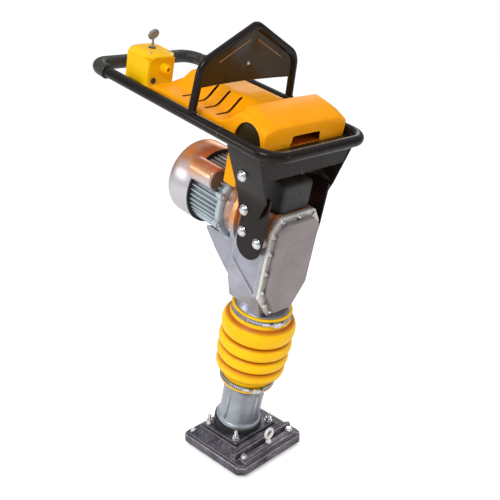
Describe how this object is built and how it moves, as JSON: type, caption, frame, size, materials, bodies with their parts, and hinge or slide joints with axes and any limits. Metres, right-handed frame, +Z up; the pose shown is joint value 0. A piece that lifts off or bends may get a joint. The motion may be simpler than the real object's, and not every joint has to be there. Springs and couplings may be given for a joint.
{
  "type": "jumping jack rammer",
  "caption": "Upright electric tamping rammer: square foot, sprung leg in a rubber bellows, leaning crankcase with motor, looped handle with hoop and sheet cover.",
  "frame": {"origin": "centre of the sole's flat underside, on the ground", "axes": "+Z up, +X to the machine's left side seen from the operator's place behind it, -Y to the front, +Y to the operator"},
  "size_m": [0.367, 0.6562, 1.1445],
  "materials": {
    "black": "gloss",
    "rubber": "matt",
    "yellow": "gloss",
    "bellows": "satin",
    "casting": "cast",
    "silver": "satin",
    "steel": "plated",
    "foot": "worn",
    "knob": "matt"
  },
  "bodies": {
    "ram": {"sole_plate": "foot", "shoe_block": "foot", "shoe_platform": "foot", "toe_strap": "foot", "toe_bolt_left": "steel", "toe_bolt_right": "steel", "eye_bolt": "steel", "stud_nut_front_left": "steel", "stud_nut_front_right": "steel", "stud_nut_rear_left": "steel", "stud_nut_rear_right": "steel", "leg_collar": "rubber", "ram_leg": "casting", "spring_cylinder": "steel", "lower_spring": "steel", "upper_spring": "steel", "bellows": "bellows", "lower_clamp": "steel"},
    "piston": {"piston_rod": "steel"},
    "upper_machine": {"crankcase": "casting", "front_cover": "casting", "upper_clamp": "steel", "gear_housing": "casting", "motor_end_shield": "silver", "motor_frame": "silver", "motor_stator": "steel", "fan_cowl": "silver", "capacitor_cover": "silver", "terminal_box": "yellow", "lower_plate_left": "black", "lower_plate_right": "black", "plate_bolt_left_front": "steel", "plate_bolt_left_rear": "steel", "plate_bolt_right_front": "steel", "plate_bolt_right_rear": "steel", "shock_block": "rubber"},
    "rotor": {"rotor_shaft": "steel", "cooling_fan": "rubber"},
    "crank": {"crank_gear": "steel"},
    "connecting_rod": {"connecting_rod": "steel"},
    "handle": {"upper_plate_left": "black", "upper_plate_right": "black", "pivot_bolt_left": "steel", "pivot_bolt_right": "steel", "tube_bolt_left": "steel", "tube_bolt_right": "steel", "cross_tube": "black", "front_brace": "black", "handle_frame": "black", "grip_sleeve": "rubber", "hoop": "black", "guard_panel": "black", "top_cover": "yellow", "cover_liner": "black", "cover_crossbar": "black", "switch_box": "yellow", "switch_lid": "yellow", "switch_bracket": "black", "cable_gland": "rubber"},
    "knob": {"switch_knob": "knob"}
  },
  "joints": [
    {"name": "leg_stroke", "type": "slide", "parent": "ram", "child": "upper_machine", "axis": [0, -0.1822, 0.9833], "range_m": [0, 0.05], "deforming": ["bellows"]},
    {"name": "piston_travel", "type": "slide", "parent": "ram", "child": "piston", "axis": [0, -0.1822, 0.9833], "range_m": [-0.015, 0.015], "stiffness_N_per_m": 40000, "deforming": ["lower_spring", "upper_spring"]},
    {"name": "crank_turn", "type": "hinge", "parent": "upper_machine", "child": "crank", "pos_m": [0, -0.03392, 0.60757], "axis": [0, 0.9833, 0.1822], "continuous": true},
    {"name": "rotor_spin", "type": "hinge", "parent": "upper_machine", "child": "rotor", "pos_m": [0, 0.00967, 0.70159], "axis": [0, 0.9833, 0.1822], "continuous": true},
    {"name": "rod_swing", "type": "hinge", "parent": "crank", "child": "connecting_rod", "pos_m": [0, -0.06252, 0.62464], "axis": [0, 0.9833, 0.1822], "continuous": true},
    {"name": "handle_rock", "type": "hinge", "parent": "upper_machine", "child": "handle", "pos_m": [0, -0.07919, 0.74207], "axis": [1, 0, 0], "range_deg": [-3, 3], "stiffness_Nm_per_rad": 3000, "springref_deg": 0.46},
    {"name": "switch_turn", "type": "hinge", "parent": "handle", "child": "knob", "pos_m": [-0.088, 0.28774, 1.04501], "axis": [0, -0.1822, 0.9833], "range_deg": [-45, 45]}
  ],
  "couplings": [
    {"joint": "rotor_spin", "follows": "crank_turn", "ratio": -4.25},
    {"joint": "rod_swing", "follows": "crank_turn", "ratio": -1}
  ]
}
